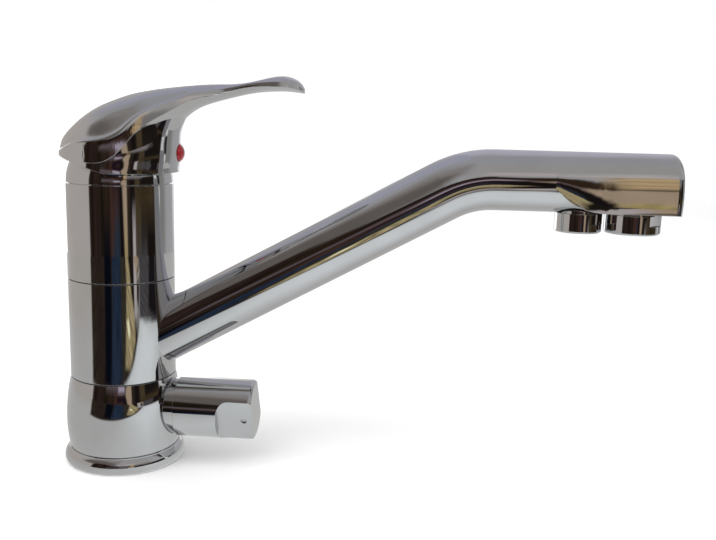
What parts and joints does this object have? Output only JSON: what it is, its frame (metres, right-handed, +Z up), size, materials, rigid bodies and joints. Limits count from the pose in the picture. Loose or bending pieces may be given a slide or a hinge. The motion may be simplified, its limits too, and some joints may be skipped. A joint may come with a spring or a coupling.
{
  "type": "three way filtered water tap",
  "caption": "Single lever kitchen mixer with a side knob for filtered water and a swivel spout with separate outlets for mixed and filtered water.",
  "frame": {"origin": "middle of the base seat, where the tap stands on the sink or worktop", "axes": "+Z up along the body, +X along the spout at rest"},
  "size_m": [0.2812, 0.0554, 0.1803],
  "materials": {
    "chrome": "mirror chrome plate",
    "brass": "machined brass",
    "steel": "turned stainless steel",
    "rubber": "black nitrile rubber",
    "slip_ring": "dark slip plastic",
    "cartridge_plastic": "pale moulded plastic",
    "tube_plastic": "clear white food grade tube",
    "insert_plastic": "pale grey moulded plastic",
    "ceramic": "lapped alumina",
    "index_red": "glossy red plastic"
  },
  "bodies": {
    "tap_body": {"base_ring": "chrome", "base_gasket": "rubber", "lower_body": "chrome", "lower_slip_ring": "slip_ring", "upper_slip_ring": "slip_ring", "column_o_rings": "rubber", "upper_sleeve": "chrome", "cartridge_housing": "brass", "cartridge_nut": "brass", "dome_ring": "chrome", "cartridge_base": "cartridge_plastic", "cartridge_seals": "rubber", "fixed_ceramic_disc": "ceramic", "cartridge_casing": "cartridge_plastic", "filter_valve_seal": "rubber", "filter_fixed_disc": "ceramic", "filter_headwork": "brass", "filter_spindle_o_ring": "rubber", "filter_cover_ring": "chrome"},
    "spout": {"spout_casting": "chrome", "filtered_water_tube": "tube_plastic", "filter_outlet_adapter": "brass", "main_outlet_housing": "chrome", "main_outlet_insert": "insert_plastic", "main_outlet_washer": "rubber", "filter_outlet_housing": "chrome", "filter_outlet_insert": "insert_plastic", "filter_outlet_washer": "rubber"},
    "mixer_rotor": {"cartridge_rotor": "cartridge_plastic", "cartridge_pin": "steel"},
    "mixing_disc": {"moving_ceramic_disc": "ceramic", "disc_carrier": "cartridge_plastic"},
    "lever": {"cartridge_stem": "steel", "handle": "chrome", "handle_grub_screw": "steel", "index_button": "index_red"},
    "knob": {"filter_knob": "chrome", "filter_knob_screw": "steel", "filter_spindle": "brass", "filter_turning_disc": "ceramic"}
  },
  "joints": [
    {"name": "spout_swivel", "type": "hinge", "parent": "tap_body", "child": "spout", "pos_m": [0, 0, 0.0647], "axis": [0, 0, 1], "continuous": true},
    {"name": "temperature_turn", "type": "hinge", "parent": "tap_body", "child": "mixer_rotor", "pos_m": [0, 0, 0.1314], "axis": [0, 0, 1], "range_deg": [-45, 45]},
    {"name": "lever_lift", "type": "hinge", "parent": "mixer_rotor", "child": "lever", "pos_m": [0, 0, 0.1314], "axis": [0, -1, 0], "range_deg": [0, 25]},
    {"name": "disc_slide", "type": "slide", "parent": "mixer_rotor", "child": "mixing_disc", "axis": [1, 0, 0], "range_m": [0, 0.0053]},
    {"name": "filter_turn", "type": "hinge", "parent": "tap_body", "child": "knob", "pos_m": [0.04634, -0.00389, 0.0259], "axis": [0.9965, -0.0837, 0], "range_deg": [0, 90]}
  ],
  "couplings": [
    {"joint": "disc_slide", "follows": "lever_lift", "m_per_rad": 0.01213}
  ]
}
